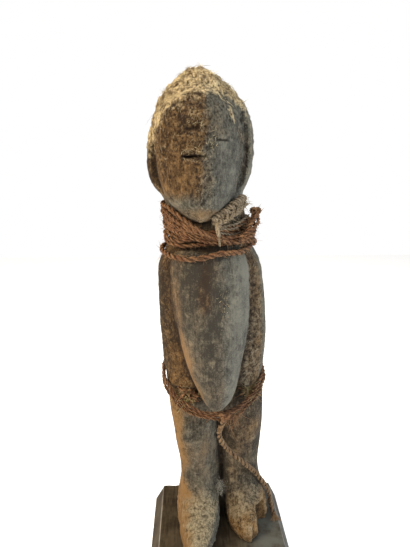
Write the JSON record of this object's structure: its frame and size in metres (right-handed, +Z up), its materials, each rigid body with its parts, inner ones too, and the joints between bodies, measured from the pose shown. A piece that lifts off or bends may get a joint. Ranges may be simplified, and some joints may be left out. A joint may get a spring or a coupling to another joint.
{
  "type": "power figure",
  "caption": "Standing carved wood power figure with a shield-shaped face, cord wound at the neck and hips, on a low black stand.",
  "frame": {"origin": "middle of the stand's underside", "axes": "+Z up, and the figure faces -Y with +X to the right of a person looking at its face"},
  "size_m": [0.13, 0.13, 0.4213],
  "materials": {
    "weathered_wood": "weathered grey-brown hardwood with a dusty crust",
    "black_stand": "worn satin black paint on wood",
    "brown_cord": "twisted plant fibre, red-brown and dusty",
    "grey_cord": "plaited plant fibre, grey and dusty",
    "raffia": "loose raffia, dry and dusty"
  },
  "bodies": {
    "root": {"figure": "weathered_wood", "stand": "black_stand", "neck_cord": "brown_cord", "collar_cord": "brown_cord", "neck_plait": "grey_cord", "hip_cord": "brown_cord", "hip_cord_tail": "brown_cord", "raffia_left": "raffia", "raffia_right": "raffia"}
  },
  "joints": []
}
